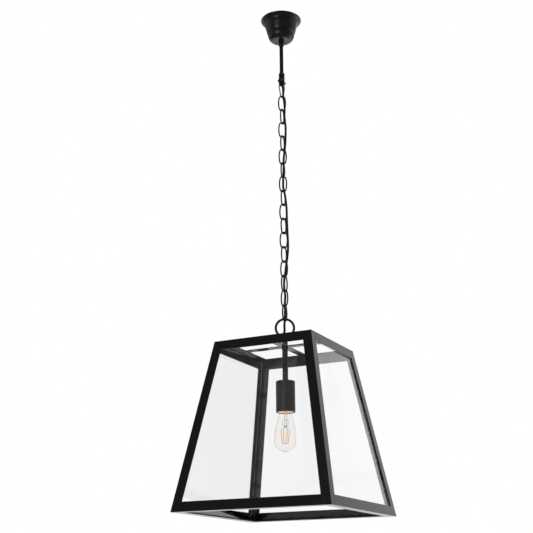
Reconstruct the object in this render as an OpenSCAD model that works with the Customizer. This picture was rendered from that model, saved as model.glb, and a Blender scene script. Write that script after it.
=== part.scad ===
// Hanging lantern: a tapered square frame of steel angle, four clear panes, an oval link chain
// with the flex woven down it, a spun ceiling rose on a drop tube, and one filament bulb.
// +Z is up. The origin is on the ceiling, over the middle of the lantern.

/* [Lantern frame] */
// Width of the frame across the bottom, outside
base_w = 432; // [400:1:460]
// Width of the frame across the top, outside
top_w = 277; // [250:1:310]
// Height of the frame
body_h = 438; // [400:1:480]
// Width of each flange of the steel angle
angle_w = 25; // [20:1:30]
// Thickness of the steel angle
angle_t = 3; // [2.5:0.5:4]
// Width of the two flat bars that cross the top
bar_w = 20; // [18:1:26]

/* [Glass] */
// Thickness of a pane
pane_t = 3; // [2:0.5:4]
// Gap between a pane and the steel on every side that it lies behind
pane_gap = 0.4; // [0.3:0.1:1]
// Height of a pane clip
clip_h = 12; // [8:1:18]
// Length of each wing of a pane clip
clip_wing = 15; // [13:1:20]
// Sheet thickness of a pane clip
clip_t = 1.2; // [0.8:0.2:1.6]
// Distance of the clips from the top and the bottom of the frame
clip_inset = 96; // [60:1:120]

/* [Ceiling rose] */
// Diameter of the rose at the ceiling
rose_d = 118; // [114:1:126]
// Height of the rose
rose_h = 67; // [64:1:74]
// Sheet thickness of the rose
rose_t = 1.2; // [1:0.1:2]
// Height of the dark collar that carries the rose on the tube
collar_h = 18; // [15:1:20]
// Diameter of that collar
collar_d = 15; // [14.5:0.5:18]

/* [Ceiling bracket] */
// Distance between the two ceiling screws
screw_pitch = 78; // [70:1:80]
// Diameter of the holes for the ceiling screws
screw_hole = 5.5; // [4:0.5:6]
// Width of the bracket strap
strap_w = 20; // [18:1:24]
// Thickness of the strap
strap_t = 2; // [1.5:0.5:3]
// Depth of the bracket below the ceiling
strap_drop = 24; // [22:1:28]

/* [Drop tube and clamp] */
// Outer diameter of the threaded drop tube
tube_d = 11; // [9.5:0.5:12]
// Bore of the drop tube
tube_bore = 7.4; // [7:0.1:8]
// Distance from the ceiling to the top of the clamp
tube_drop = 171; // [160:1:200]
// Diameter of the clamp at the foot of the tube
clamp_d = 17; // [17:1:22]
// Height of the clamp
clamp_h = 42; // [40:1:50]
// Wire diameter of the bail that hangs from the clamp
bail_wire = 3; // [2.8:0.2:4]
// Drop from the bail's pivots to the middle of its lowest wire
bail_drop = 49.5; // [47:0.1:56]

/* [Chain] */
// Wire diameter of a link
link_wire = 4; // [3.6:0.1:4.4]
// Width of a link, outside
link_w = 24; // [23:0.5:28]
// Pitch of the chain, the inner length of a link
link_pitch = 41.6; // [41:0.1:45]
// Wire diameter of the ring
ring_wire = 6.5; // [5:0.5:7]
// Diameter of the ring, outside
ring_d = 55.5; // [52:0.5:64]
// Play left between two pieces of wire that bear on each other
bearing_gap = 0.3; // [0.3:0.05:0.5]

/* [Eye, stem and lampholder] */
// Height of the eye above the frame
eye_h = 35; // [34:1:44]
// Wire diameter of the eye
eye_wire = 5; // [4:0.5:6]
// Diameter of the eye's hollow neck
neck_d = 15; // [14:0.5:17]
// Height of the neck above the frame
neck_h = 18; // [17:0.5:18]
// Diameter of the stem
stem_d = 15; // [13:0.5:16]
// Drop from the frame's top to the lampholder
stem_drop = 94.5; // [85:0.5:110]
// Diameter of the lampholder's cover
holder_d = 51; // [47:0.5:54]
// Height of the lampholder's cover
holder_h = 82.5; // [80:0.5:90]
// Sheet thickness of the cover
holder_t = 1.2; // [1:0.1:2]

/* [Bulb] */
// Largest diameter of the bulb
bulb_d = 57; // [54:1:60]
// Length of the bulb, cap and tip included
bulb_l = 141; // [136:1:146]
// Diameter of the bulb's screw cap
cap_d = 26.4; // [26:0.1:26.6]

/* [Flex] */
// Diameter of the flex
flex_d = 6.3; // [5.5:0.1:6.3]

/* [Hidden] */
eps = 0.01;
fit = 0.05;                    // running fit of a tube, a nut or a pin in its hole, each side
arc_fn = 48;
wire_fn = 32;

// The plane of the ring is turned from the front of the frame by this much.
ring_turn = 26;
// Each link's plane, as it hangs, from the top one down.
link_turns = [26, 88, 26, 86, 26, 86, 21, 82, 16, 74, 16, 74, 1, 66, -4, 81];
bail_turn = 76;
link_count = len(link_turns);

// Heights, from the ceiling down
clamp_top = -tube_drop;
clamp_bottom = clamp_top - clamp_h;
pivot_up = 12;                 // height of the bail's pivots above the clamp's foot
pivot_z = clamp_bottom + pivot_up;
chain_z = pivot_z - bail_drop;
function link_foot(k) = chain_z - link_pitch * k;
ring_top = link_foot(link_count) + (link_wire + ring_wire) / 2 + bearing_gap;
ring_z = ring_top - (ring_d - ring_wire) / 2;
ring_foot = ring_z - (ring_d - ring_wire) / 2;
eye_top = ring_foot + (ring_wire + eye_wire) / 2 + bearing_gap;
frame_top = eye_top + eye_wire / 2 - eye_h;
frame_foot = frame_top - body_h;

// The frame's taper: half its width at a height, and what a thickness measures along the floor
taper = (base_w - top_w) / 2 / body_h;
lean = atan(taper);
function half(z) = base_w / 2 - taper * (z - frame_foot);
steel = angle_t / cos(lean);
glass = pane_t / cos(lean);
play = pane_gap / cos(lean);
top_opening = top_w / 2 - angle_w;
base_opening = base_w / 2 - angle_w;
pane_back = steel + play + glass;      // depth of a pane's inner face behind the frame's face
clip_screw_d = 3;
clip_screw_tip = 1.8;          // how far a clip screw stops from the angle's inner corner
pane_stop = pane_back + clip_screw_d;  // distance of a pane's edge from the next face

function corner_name(k) = ["back_right", "back_left", "front_left", "front_right"][k];
function side_name(k) = ["back", "left", "front", "right"][k];
function link_name(k) = str("link_", k < 10 ? "0" : "", k);

// ---------------------------------------------------------------- shared shapes

// A solid between two outlines of as many points, one at each height
module loft(lower, upper, z_low, z_high) {
    n = len(lower);
    points = concat([for (p = lower) [p[0], p[1], z_low]], [for (p = upper) [p[0], p[1], z_high]]);
    foot = [for (i = [0 : n - 1]) i];
    head = [for (i = [n - 1 : -1 : 0]) n + i];
    walls = [for (i = [0 : n - 1]) [i, n + i, n + (i + 1) % n, (i + 1) % n]];
    polyhedron(points, concat([foot, head], walls));
}

// One flange of the angle at a corner, of a width and a thickness, set in from the faces
function angle_flange(z, inset, width, thickness) =
    let (o = half(z) - inset, e = o - width, i = o - thickness) [[o, o], [e, o], [e, i], [i, i]];

// The other one: the same outline turned over, without the corner that the first one fills
function angle_return(z, inset, width, thickness) =
    let (o = half(z) - inset, e = o - width, i = o - thickness) [[o, o], [i, i], [i, e], [o, e]];

// A corner angle that leans with the frame between two heights
module leaning_angle(z_low, z_high, inset, width, thickness) {
    loft(angle_flange(z_low, inset, width, thickness), angle_flange(z_high, inset, width, thickness),
         z_low, z_high);
    loft(angle_return(z_low, inset, width, thickness), angle_return(z_high, inset, width, thickness),
         z_low, z_high);
}

// A mitred flat flange on the back of the frame, from the face to an opening
function flange_outline(z, opening) =
    let (h = half(z)) [[-opening, opening], [opening, opening], [h, h], [-h, h]];

// An upright flange on the back of the frame that butts against the corner angles
function upright_outline(z) =
    let (h = half(z), a = h - angle_w) [[-a, h - steel], [a, h - steel], [a, h], [-a, h]];

// A round bar bent to an arc in the XZ plane, from one angle to another, both from +X
module wire_arc(radius, wire, from, to) {
    rotate([90, 0, 0])
        rotate([0, 0, from])
            rotate_extrude(angle = to - from, $fn = arc_fn)
                translate([radius, 0]) circle(d = wire, $fn = wire_fn);
}

// A tube swept along points, with a flat end at each side
module sweep(path, diameter, sides) {
    n = len(path);
    function heading(i) = let (d = path[min(i + 1, n - 1)] - path[max(i - 1, 0)]) d / norm(d);
    rings = [for (i = [0 : n - 1])
        let (t = heading(i), u = cross([0, 1, 0], t) / norm(cross([0, 1, 0], t)), v = cross(t, u))
        for (j = [0 : sides - 1])
            let (a = 360 * j / sides) path[i] + diameter / 2 * (cos(a) * u + sin(a) * v)];
    walls = [for (i = [0 : n - 2]) for (j = [0 : sides - 1])
        let (a = i * sides + j, b = i * sides + (j + 1) % sides) each [[a, a + sides, b], [b, a + sides, b + sides]]];
    near_end = [for (j = [0 : sides - 1]) j];
    far_end = [for (j = [sides - 1 : -1 : 0]) (n - 1) * sides + j];
    polyhedron(rings, concat([near_end, far_end], walls));
}

// A smooth run through points: a Catmull-Rom curve with a number of steps between each two
function smooth(p, steps) = concat(
    [for (i = [0 : len(p) - 2]) for (s = [0 : steps - 1])
        let (a = p[max(i - 1, 0)], b = p[i], c = p[i + 1], d = p[min(i + 2, len(p) - 1)], t = s / steps)
        0.5 * (2 * b + (c - a) * t + (2 * a - 5 * b + 4 * c - d) * t * t + (3 * b - a - 3 * c + d) * t * t * t)],
    [p[len(p) - 1]]);

// ---------------------------------------------------------------- ceiling end

// Points of the flex: to the right along the ring's plane, out of that plane to the front, and height
flex_route = [
    [0, 0, -24], [0, 0, -75], [0, 0, -135], [0, 0, -185], [0, 0, -204], [0.9, 0.9, -211], [3, 3.6, -222],
    [3.6, 5.6, -234], [3.8, 6.4, -250], [7, 6.5, -269], [10, 6.3, -289], [9.1, 6.4, -310], [9.5, 6.4, -330],
    [9.7, 6.4, -349], [8.9, 6.5, -369], [8.2, 6.6, -390], [6.7, 6.7, -410], [4.2, 7.4, -430], [2.3, 8.6, -451],
    [2.3, 9.4, -471], [1.5, 9.8, -491], [0.4, 10.3, -512], [0.4, 10.7, -533], [4.4, 9.4, -553], [6.9, 8.1, -573],
    [8.1, 8.1, -595], [8, 8.1, -615], [8, 8.2, -636], [8.5, 8.3, -657], [8.9, 8.5, -677], [9.5, 8.7, -699],
    [8.9, 9.5, -720], [6.8, 10.3, -741], [3.1, 10.3, -762], [0.4, 9.7, -783], [-1.4, 9.7, -804],
    [-0.6, 9.8, -826], [2, 10, -847], [0.8, 10.6, -868], [0.8, 10.8, -889], [0, 10.9, -913], [-0.8, 7.4, -922],
    [-1.9, 0.6, -933], [-4.4, -4.8, -944], [-6.8, -7, -953], [-7.1, -7.1, -960], [-7.1, -5.2, -964],
    [-6.6, -1.7, -968], [-4.6, -1.2, -973], [-2.4, -0.6, -978], [-0.8, -0.2, -982], [0, 0, -986],
    [0, 0, -1010], [0, 0, -1045], [0, 0, -1084]];
function from_ring_plane(p) =
    [p[0] * cos(ring_turn) + p[1] * sin(ring_turn), p[0] * sin(ring_turn) - p[1] * cos(ring_turn), p[2]];

module flex() {
    path = smooth([for (p = flex_route) from_ring_plane(p)], 1);
    color("#141414") sweep(path, flex_d, 10);
}

nut_flats = 17;
nut_h = 5;
strap_top = -strap_drop + strap_t;
tube_top = strap_top + nut_h + 1;

module hex_nut(flats, height, bore) {
    difference() {
        cylinder(d = flats / cos(30), h = height, $fn = 6);
        translate([0, 0, -1]) cylinder(d = bore, h = height + 2, $fn = 48);
    }
}

module ceiling_bracket() {
    seat = 12;                  // half the length of the strap's low middle
    foot = screw_pitch / 2 - 9; // where the strap meets the ceiling
    reach = screw_pitch / 2 + 7;
    outline = [[-reach, 0], [-foot, 0], [-seat, strap_top], [seat, strap_top], [foot, 0], [reach, 0],
        [reach, -strap_t], [foot + strap_t / 2, -strap_t], [seat + strap_t / 2, -strap_drop],
        [-seat - strap_t / 2, -strap_drop], [-foot - strap_t / 2, -strap_t], [-reach, -strap_t]];
    color("silver") difference() {
        rotate([90, 0, 0]) translate([0, 0, -strap_w / 2]) linear_extrude(strap_w) polygon(outline);
        for (s = [-1, 1]) translate([s * screw_pitch / 2, 0, -strap_t - 1])
            cylinder(d = screw_hole, h = strap_t + 2, $fn = 32);
        translate([0, 0, -strap_drop - 1]) cylinder(d = tube_d + 4 * fit, h = strap_t + 2, $fn = 48);
    }
}

module tube_locknuts() {
    color("goldenrod") {
        translate([0, 0, strap_top]) hex_nut(nut_flats, nut_h, tube_d + 2 * fit);
        translate([0, 0, -strap_drop - nut_h]) hex_nut(nut_flats, nut_h, tube_d + 2 * fit);
    }
}

socket_depth = 12;             // how far the tube goes into the clamp

module drop_tube() {
    foot = clamp_top - socket_depth;
    color("#1a1a1a") difference() {
        translate([0, 0, foot]) cylinder(d = tube_d, h = tube_top - foot, $fn = 48);
        translate([0, 0, foot - 1]) cylinder(d = tube_bore, h = tube_top - foot + 2, $fn = 48);
    }
}

block_l = 22;
block_w = 14;
block_h = 13;
block_x = 20;                  // middle of the terminal block, beside the tube
block_turn = 90;
block_top = -strap_drop - nut_h - 4;

module terminal_block() {
    way = block_l / 3;
    color("ivory") rotate([0, 0, block_turn]) translate([block_x, 0, block_top - block_h]) difference() {
        translate([-block_w / 2, -block_l / 2, 0]) cube([block_w, block_l, block_h]);
        for (i = [-1 : 1]) {
            translate([0, i * way, 1]) cylinder(d = 3.6, h = block_h, $fn = 24);
            translate([-block_w / 2 - 1, i * way, 5]) rotate([0, 90, 0]) cylinder(d = 3.2, h = block_w + 2, $fn = 24);
        }
    }
}

module wire_cores() {
    core_d = 2.2;
    hook = tube_top + 12;       // the cores turn over above the tube
    color("sienna") rotate([0, 0, block_turn]) for (i = [-1 : 1]) {
        y = i * block_l / 3;
        path = smooth([[i * 0.2, i * 2.3, tube_top - 1], [i * 0.2, i * 2.3, tube_top + 4], [4, i * 3, hook],
            [13, i * 5, hook - 4], [17 + 6, y, tube_top - 10], [block_x + block_w / 2 + 7, y, block_top - 3],
            [block_x + block_w / 2 + 5, y, block_top - block_h + 5.6],
            [block_x + block_w / 2 + 0.2, y, block_top - block_h + 5]], 3);
        sweep(path, core_d, 8);
    }
}

// The rose: a flared brim, a tapering wall, and a rounded flat bottom
brim_t = 2.5;
wall_top_r = 47;
wall_foot_r = 37;
flare_h = 18;
bottom_round = 11;

function rose_outline(inset) =
    let (brim = rose_d / 2 - inset, z_flat = -rose_h + inset, reach = brim - wall_top_r + inset,
         drop = flare_h - brim_t, base_r = wall_foot_r - bottom_round, round_z = -rose_h + bottom_round + 1)
    concat(
        [[brim, 0], [brim, -brim_t + inset * 0.4]],
        [for (i = [1 : 10]) let (a = 9 * i)
            [brim - reach * sin(a), -brim_t + inset * 0.4 - drop * (1 - cos(a))]],
        [for (i = [0 : 8]) let (a = 10 + 10 * i)
            [base_r + (bottom_round - inset) * cos(a), z_flat + (bottom_round - inset) * (1 - sin(a))]]);

module rose() {
    outer = concat(rose_outline(0), [[0, -rose_h], [0, 0]]);
    inner = concat(rose_outline(rose_t), [[0, -rose_h + rose_t], [0, 0]]);
    color("#1a1a1a") difference() {
        rotate_extrude($fn = 96) polygon(outer);
        rotate_extrude($fn = 96)
            polygon(concat([[rose_d / 2 - rose_t, eps]], [for (p = inner) if (p[0] > 0 || p[1] < -1) p], [[0, eps]]));
        translate([0, 0, -rose_h - 1]) cylinder(d = tube_d + 1, h = rose_t + 2, $fn = 48);
    }
}

module rose_collar() {
    nose = collar_d * 0.32;
    top = -rose_h;
    color("#101010") difference() {
        rotate_extrude($fn = 64) polygon(concat(
            [[0, top], [collar_d / 2 - 0.6, top], [collar_d / 2, top - 0.8], [collar_d / 2, top - collar_h + nose]],
            [for (i = [1 : 6]) let (a = 15 * i)
                [tube_d / 2 + 0.6 + (collar_d / 2 - tube_d / 2 - 0.6) * cos(a), top - collar_h + nose - nose * sin(a)]],
            [[0, top - collar_h]]));
        translate([0, 0, top - collar_h - 1]) cylinder(d = tube_d + 2 * fit, h = collar_h + 2, $fn = 48);
        translate([0, 0, top - collar_screw_z]) rotate([0, 90, 0])
            cylinder(d = collar_screw_d + 2 * fit, h = collar_d, $fn = 24);
    }
}

collar_screw_d = 3;
collar_screw_z = 6;

module collar_screw() {
    seat = tube_d / 2 + 4 * fit;
    color("#303030") translate([seat, 0, -rose_h - collar_screw_z]) rotate([0, 90, 0])
        cylinder(d = collar_screw_d, h = collar_d / 2 + 0.8 - seat, $fn = 24);
}

// ---------------------------------------------------------------- clamp and bail

pivot_d = 4;
pivot_bite = 4;                // how far a pivot screw goes into the clamp
eyelet_t = 3;
eyelet_d = 9;
pivot_head = 7.4;
bail_x = clamp_d / 2 + bearing_gap + eyelet_t / 2;
set_screw_z = clamp_top - 26;
set_screw_d = 5;
set_screw_turn = ring_turn - 90;

module clamp() {
    chamfer = 2.5;
    nose_h = 5;
    color("#161616") difference() {
        translate([0, 0, clamp_bottom]) rotate_extrude($fn = 64) polygon([[0, 0], [clamp_d / 2 - nose_h * 0.7, 0],
            [clamp_d / 2, nose_h], [clamp_d / 2, clamp_h - chamfer * 1.6], [clamp_d / 2 - chamfer, clamp_h],
            [0, clamp_h]]);
        translate([0, 0, clamp_top - socket_depth]) cylinder(d = tube_d + 2 * fit, h = socket_depth + 1, $fn = 48);
        translate([0, 0, clamp_bottom - 1]) cylinder(d = tube_bore, h = clamp_h, $fn = 48);
        translate([0, 0, clamp_bottom - eps]) cylinder(d1 = tube_bore + 3, d2 = tube_bore, h = 5, $fn = 48);
        rotate([0, 0, bail_turn]) for (s = [-1, 1]) translate([s * (clamp_d / 2 - pivot_bite), 0, pivot_z])
            rotate([0, s * 90, 0]) cylinder(d = pivot_d + 2 * fit, h = pivot_bite + 1, $fn = 32);
        rotate([0, 0, set_screw_turn]) translate([0, 0, set_screw_z]) rotate([0, 90, 0])
            cylinder(d = set_screw_d + 2 * fit, h = clamp_d, $fn = 32);
    }
}

module clamp_screw() {
    seat = flex_d / 2 + 2 * fit;
    color("silver") rotate([0, 0, set_screw_turn]) translate([0, 0, set_screw_z]) rotate([0, 90, 0]) difference() {
        union() {
            translate([0, 0, seat]) cylinder(d = set_screw_d - 2 * fit, h = clamp_d / 2 + 0.4 - seat, $fn = 32);
            translate([0, 0, clamp_d / 2 + 0.3]) cylinder(d = set_screw_d + 1.5, h = 1.6, $fn = 32);
        }
        translate([0, 0, clamp_d / 2 + 1.1]) cube([1, set_screw_d + 3, 2], center = true);
    }
}

module pivot_screws() {
    color("#202020") rotate([0, 0, bail_turn]) for (s = [-1, 1]) translate([0, 0, pivot_z]) rotate([0, s * 90, 0]) {
        shank_from = clamp_d / 2 - pivot_bite + 0.1;
        head_from = clamp_d / 2 + eyelet_t + 2 * bearing_gap;
        translate([0, 0, shank_from]) cylinder(d = pivot_d, h = head_from - shank_from + eps, $fn = 32);
        translate([0, 0, head_from]) cylinder(d = pivot_head, h = 1.8, $fn = 32);
    }
}

// The bail: an eyelet each side, legs that spread to a kink and close to a round foot
module bail() {
    kink = [bail_x + 1.3, 0, pivot_z - 18.6];
    foot_r = 6.5;
    foot_z = chain_z + foot_r;
    past = 1.2;                 // the legs run past each other and into the foot by this
    color("#1c1c1c") rotate([0, 0, bail_turn]) difference() {
        union() {
            translate([0, 0, foot_z]) wire_arc(foot_r, bail_wire, 180, 360);
            for (s = [0, 1]) mirror([s, 0, 0]) {
                rod([foot_r, 0, foot_z], kink, bail_wire, past);
                rod(kink, [bail_x + 0.2, 0, pivot_z - eyelet_d / 2 + 0.3], bail_wire, past);
                translate([bail_x - eyelet_t / 2, 0, pivot_z]) rotate([0, 90, 0])
                    cylinder(d = eyelet_d, h = eyelet_t, $fn = 48);
            }
        }
        for (s = [-1, 1]) translate([s * bail_x, 0, pivot_z]) rotate([0, 90, 0])
            cylinder(d = pivot_d + 2 * fit, h = eyelet_t + 2, center = true, $fn = 48);
    }
}

// A round rod between two points in the XZ plane, longer at each end by an amount
module rod(from, to, wire, past = 0) {
    d = to - from;
    translate(from) rotate([0, atan2(d[0], d[2]), 0]) translate([0, 0, -past])
        cylinder(d = wire, h = norm(d) + 2 * past, $fn = wire_fn);
}

// ---------------------------------------------------------------- chain and ring

// An oval link of round wire: half rings at the ends, and bowed sides that run a little way into them
end_r = 8.2;
half_l = (link_pitch + link_wire + bearing_gap) / 2;
half_w = (link_w - link_wire) / 2;
bow = half_w - end_r;
side_r = (bow * bow + pow(half_l - end_r, 2)) / 2 / bow;
side_turn = asin((half_l - end_r) / side_r) + 1.2;

module oval_link() {
    for (s = [-1, 1]) {
        translate([0, 0, s * (half_l - end_r)]) wire_arc(end_r, link_wire, 90 * (1 - s), 90 * (3 - s));
        translate([-s * (side_r - half_w), 0, 0]) wire_arc(side_r, link_wire, 90 * (1 - s) - side_turn,
            90 * (1 - s) + side_turn);
    }
}

module chain_link(k) {
    color("#242424") translate([0, 0, link_foot(k) + half_l]) rotate([0, 0, link_turns[k - 1]]) oval_link();
}

module ring() {
    color("#1c1c1c") translate([0, 0, ring_z]) rotate([0, 0, ring_turn]) rotate([90, 0, 0])
        rotate_extrude($fn = 96) translate([(ring_d - ring_wire) / 2, 0]) circle(d = ring_wire, $fn = wire_fn);
}

// ---------------------------------------------------------------- eye, stem and lampholder

eye_r = (ring_wire + eye_wire) / 2 + 0.5; // radius of the eye's arch, at the middle of the wire
eye_root = 4;                  // how far the eye's legs run down into the neck
entry_turn = 165;              // side of the neck where the flex comes in, from the ring's plane
entry_w = 8.4;
stud_d = 10;
stud_l = 22;
stem_top = frame_top - angle_t - nut_h;
holder_top = frame_top - stem_drop;
holder_foot = holder_top - holder_h;

// The eye that hangs on the ring: a wire arch on a hollow neck, with a slot for the flex and a stud below
module eye() {
    neck_top = frame_top + neck_h;
    arch_z = eye_top - eye_r;
    stud_foot = frame_top - angle_t - stud_l;
    color("#1a1a1a") difference() {
        union() {
            translate([0, 0, frame_top]) cylinder(d = neck_d, h = neck_h, $fn = 64);
            translate([0, 0, stud_foot]) cylinder(d = stud_d, h = angle_t + stud_l + 1, $fn = 48);
            rotate([0, 0, ring_turn + 90]) {
                translate([0, 0, arch_z]) wire_arc(eye_r, eye_wire, 0, 180);
                for (s = [-1, 1]) translate([s * eye_r, 0, neck_top - eye_root])
                    cylinder(d = eye_wire, h = arch_z - neck_top + eye_root, $fn = wire_fn);
            }
        }
        translate([0, 0, stud_foot - 1]) cylinder(d = tube_bore, h = angle_t + stud_l + neck_h + 1.5, $fn = 48);
        rotate([0, 0, ring_turn + entry_turn]) translate([0, -entry_w / 2, frame_top + 2])
            cube([neck_d, entry_w, neck_h - 1.9]);
    }
}

module stem_nut() {
    color("#1a1a1a") translate([0, 0, stem_top]) hex_nut(nut_flats, nut_h, stud_d + 2 * fit);
}

spigot_l = 10;                 // how far the stem's thin foot reaches into the lampholder

module stem() {
    color("#202020") difference() {
        union() {
            translate([0, 0, holder_top]) cylinder(d = stem_d, h = stem_top - holder_top, $fn = 64);
            translate([0, 0, holder_top - spigot_l]) cylinder(d = stud_d, h = spigot_l + 1, $fn = 48);
        }
        translate([0, 0, holder_top + 4]) cylinder(d = stud_d + 2 * fit, h = stem_drop, $fn = 48);
        translate([0, 0, holder_top - spigot_l - 1]) cylinder(d = tube_bore, h = stem_drop, $fn = 48);
    }
}

module holder_cover() {
    round = 2.5;
    r = holder_d / 2;
    outer = concat([[0, 0], [r, 0]], [for (i = [0 : 5]) let (a = 18 * i)
        [r - round + round * cos(a), holder_h - round + round * sin(a)]], [[0, holder_h]]);
    color("#222222") translate([0, 0, holder_foot]) difference() {
        rotate_extrude($fn = 96) polygon(outer);
        translate([0, 0, -1]) cylinder(r = r - holder_t, h = holder_h - round + 1, $fn = 96);
        translate([0, 0, -1]) cylinder(r = r - round, h = holder_h - holder_t + 1, $fn = 96);
        translate([0, 0, -1]) cylinder(d = stud_d + 2 * fit, h = holder_h + 2, $fn = 48);
    }
}

bulb_top = holder_foot - 106 + bulb_l; // height of the bulb's centre contact
bulb_tip = bulb_top - bulb_l;
cap_l = 27;
cap_foot = bulb_top - cap_l;
shell_r = cap_d / 2 + 0.35;    // bore of the holder's thread shell
shell_t = 0.6;
core_r = 19;
core_foot = cap_foot + 2;

module holder_core() {
    top = holder_top - holder_t;
    cavity_top = bulb_top + 4;
    color("#e8e2d2") difference() {
        rotate_extrude($fn = 64) polygon([[0, core_foot], [core_r, core_foot], [core_r, top - 14], [11, top - 8],
            [9, top], [0, top]]);
        translate([0, 0, core_foot - 1]) cylinder(r = shell_r + shell_t + 0.3, h = cavity_top - core_foot + 1, $fn = 64);
        translate([0, 0, core_foot]) cylinder(d = stud_d + 2 * fit, h = top - core_foot + 1, $fn = 48);
    }
}

module holder_contacts() {
    color("goldenrod") {
        translate([0, 0, core_foot + 1]) difference() {
            cylinder(r = shell_r + shell_t, h = cap_l - 6, $fn = 64);
            translate([0, 0, -1]) cylinder(r = shell_r, h = cap_l, $fn = 64);
        }
        translate([0, 0, bulb_top + 0.4]) linear_extrude(0.8) union() {
            circle(r = 4, $fn = 32);
            translate([-shell_r - shell_t, -2]) square([2 * (shell_r + shell_t), 4]);
        }
    }
}

// ---------------------------------------------------------------- bulb

// Radius of the bulb at a share of the way from its cap to its widest place
wide_z = bulb_tip + 29;
neck_r = 12.3;
neck_z = cap_foot + 3;        // top of the neck, inside the cap
nipple_r = 4.5;
nipple_h = 4.5;

function bulb_outline(inset) =
    let (r = bulb_d / 2 - inset, body = wide_z - bulb_tip - nipple_h, low = body - inset)
    concat(
        [[neck_r - inset, neck_z]],
        [for (i = [0 : 12]) let (t = i / 12)
            [neck_r - inset + (r - neck_r + inset) * sin(90 * pow(t, 0.92)), cap_foot + (wide_z - cap_foot) * t]],
        [for (i = [1 : 8]) let (a = 9.6 * i) [r * cos(a), wide_z - low * sin(a)]],
        [[nipple_r - inset * 0.6, wide_z - low * 0.985 - 0.6], [nipple_r * 0.55 - inset * 0.3, bulb_tip + 1.2 + inset],
         [0, bulb_tip + inset]]);

module bulb_glass() {
    wall = 0.9;
    color([0.95, 0.95, 0.95, 0.35]) difference() {
        rotate_extrude($fn = 96) polygon(concat(bulb_outline(0), [[0, neck_z]]));
        rotate_extrude($fn = 96) polygon(concat(bulb_outline(wall), [[0, neck_z + 1], [neck_r - wall, neck_z + 1]]));
    }
}

module bulb_cap() {
    r = cap_d / 2;
    color("#b9a27a") rotate_extrude($fn = 64) polygon([[0, bulb_top], [3.2, bulb_top], [4.4, bulb_top - 1.2],
        [9, bulb_top - 3.2], [r - 1, bulb_top - 4.6], [r, bulb_top - 6], [r, cap_foot], [neck_r + 0.1, cap_foot],
        [neck_r + 0.1, neck_z + 0.1], [r - 1.2, neck_z + 1.4], [r - 1.2, bulb_top - 6.4], [0, bulb_top - 4]]);
}

hub_z = bulb_tip + 69;
fil_top_r = 12.4;
fil_foot_r = 7.8;
fil_top_z = bulb_tip + 56;
fil_foot_z = bulb_tip + 26;
fil_turn = ring_turn + 14;
lead_d = 0.8;

module bulb_mount() {
    color("#c8c8c8") {
        rotate_extrude($fn = 48) polygon(concat([[0, hub_z], [2.2, hub_z], [2.2, hub_z + 15], [1.6, hub_z + 17]],
            [[1.6, hub_z + 30], [4, neck_z - 3], [neck_r - 1.2, neck_z - 0.3], [neck_r - 1.2, neck_z], [0, neck_z]]));
        translate([0, 0, hub_z - 1.6]) cylinder(r = 4.6, h = 1.6, $fn = 32);
        rotate([0, 0, fil_turn]) for (i = [0 : 3]) rotate([0, 0, 90 * i]) {
            rod([3.4, 0, hub_z - 1.6], [fil_top_r - 0.6, 0, fil_top_z + 0.7], lead_d);
            rod([0, 0, fil_foot_z - 2.6], [fil_foot_r, 0, fil_foot_z - 1.1], lead_d);
        }
        translate([0, 0, fil_foot_z - 2.6]) cylinder(d = lead_d, h = hub_z - fil_foot_z + 1, $fn = 16);
    }
}

module filaments() {
    color("#e8b070") rotate([0, 0, fil_turn]) for (i = [0 : 3]) rotate([0, 0, 90 * i])
        rod([fil_foot_r, 0, fil_foot_z], [fil_top_r, 0, fil_top_z], 1.8);
}

// ---------------------------------------------------------------- frame

module post(k) {
    color("#1a1a1a") rotate([0, 0, 90 * k])
        leaning_angle(frame_foot + angle_t, frame_top - angle_t, 0, angle_w, steel);
}

module top_rail(k) {
    low = frame_top - angle_t;
    foot = frame_top - angle_w;
    color("#1a1a1a") rotate([0, 0, 90 * k]) {
        loft(flange_outline(low, top_opening), flange_outline(frame_top, top_opening), low, frame_top);
        loft(upright_outline(foot), upright_outline(low), foot, low);
    }
}

module bottom_rail(k) {
    high = frame_foot + angle_t;
    head = frame_foot + angle_w;
    color("#1a1a1a") rotate([0, 0, 90 * k]) {
        loft(flange_outline(frame_foot, base_opening), flange_outline(high, base_opening), frame_foot, high);
        loft(upright_outline(high), upright_outline(head), high, head);
    }
}

// A pane behind the flanges of one side
function pane_outline(z) =
    let (y = half(z) - steel - play, a = half(z) - pane_stop) [[-a, y - glass], [a, y - glass], [a, y], [-a, y]];

module pane(k) {
    low = frame_foot + angle_t + pane_gap;
    high = frame_top - angle_t - pane_gap;
    color([0.9, 0.93, 0.93, 0.3]) rotate([0, 0, 90 * k]) loft(pane_outline(low), pane_outline(high), low, high);
}

// Bent corner clips that hold two panes each, with the screw that pulls them to the angle
module pane_clips() {
    inset = pane_back + play;
    color("#202020") for (k = [0 : 3]) rotate([0, 0, 90 * k]) for (z = [frame_foot + clip_inset, frame_top - clip_inset]) {
        leaning_angle(z - clip_h / 2, z + clip_h / 2, inset, clip_wing, clip_t);
        corner = half(z) - steel;
        face = (inset + clip_t - steel) * sqrt(2);
        translate([corner, corner, z]) rotate([0, 0, 225]) rotate([0, 90, 0]) {
            translate([0, 0, clip_screw_tip]) cylinder(d = clip_screw_d - 0.6, h = face - clip_screw_tip, $fn = 24);
            translate([0, 0, face]) cylinder(d = clip_screw_d + 2.5, h = 2, $fn = 24);
        }
    }
}

lap = bar_w / 2 + 0.1;

module front_back_bar() {
    color("#1a1a1a") difference() {
        translate([-bar_w / 2, -top_opening, frame_top - angle_t]) cube([bar_w, 2 * top_opening, angle_t]);
        translate([-lap, -lap, frame_top - angle_t / 2]) cube([2 * lap, 2 * lap, angle_t]);
        translate([0, 0, frame_top - angle_t - 1]) cylinder(d = stud_d + 4 * fit, h = angle_t + 2, $fn = 48);
    }
}

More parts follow.
